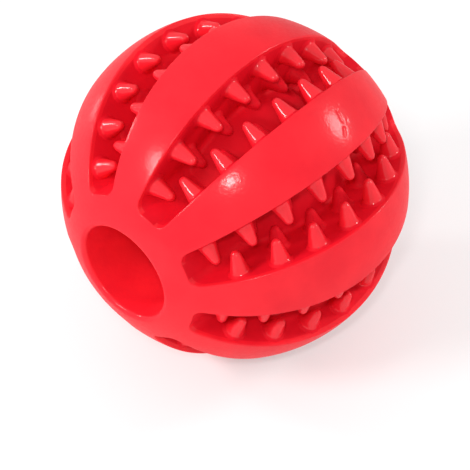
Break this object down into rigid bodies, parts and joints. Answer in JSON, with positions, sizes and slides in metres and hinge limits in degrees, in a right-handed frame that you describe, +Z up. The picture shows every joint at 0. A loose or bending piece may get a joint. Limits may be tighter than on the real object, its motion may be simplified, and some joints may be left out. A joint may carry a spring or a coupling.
{
  "type": "dog chew ball",
  "caption": "Round red rubber chew ball for dogs: ribs run from pole to pole round a bored core, with soft rubber teeth on the walls of the grooves between them.",
  "frame": {"origin": "centre of the ball, midway along its bore", "axes": "+Y along the bore towards its rear mouth, so the pictured mouth faces -Y; +Z up through the middle of rib 1; +X to the right seen from the front"},
  "size_m": [0.07, 0.0662, 0.07],
  "materials": {
    "red_rubber": "satin"
  },
  "bodies": {
    "root": {"core": "red_rubber", "front_collar": "red_rubber", "rear_collar": "red_rubber", "rib_1": "red_rubber", "rib_2": "red_rubber", "rib_3": "red_rubber", "rib_4": "red_rubber", "rib_5": "red_rubber", "rib_6": "red_rubber", "rib_7": "red_rubber", "rib_8": "red_rubber", "tooth_row_1_left": "red_rubber", "tooth_row_1_right": "red_rubber", "tooth_row_2_left": "red_rubber", "tooth_row_2_right": "red_rubber", "tooth_row_3_left": "red_rubber", "tooth_row_3_right": "red_rubber", "tooth_row_4_left": "red_rubber", "tooth_row_4_right": "red_rubber", "tooth_row_5_left": "red_rubber", "tooth_row_5_right": "red_rubber", "tooth_row_6_left": "red_rubber", "tooth_row_6_right": "red_rubber", "tooth_row_7_left": "red_rubber", "tooth_row_7_right": "red_rubber", "tooth_row_8_left": "red_rubber", "tooth_row_8_right": "red_rubber"}
  },
  "joints": []
}
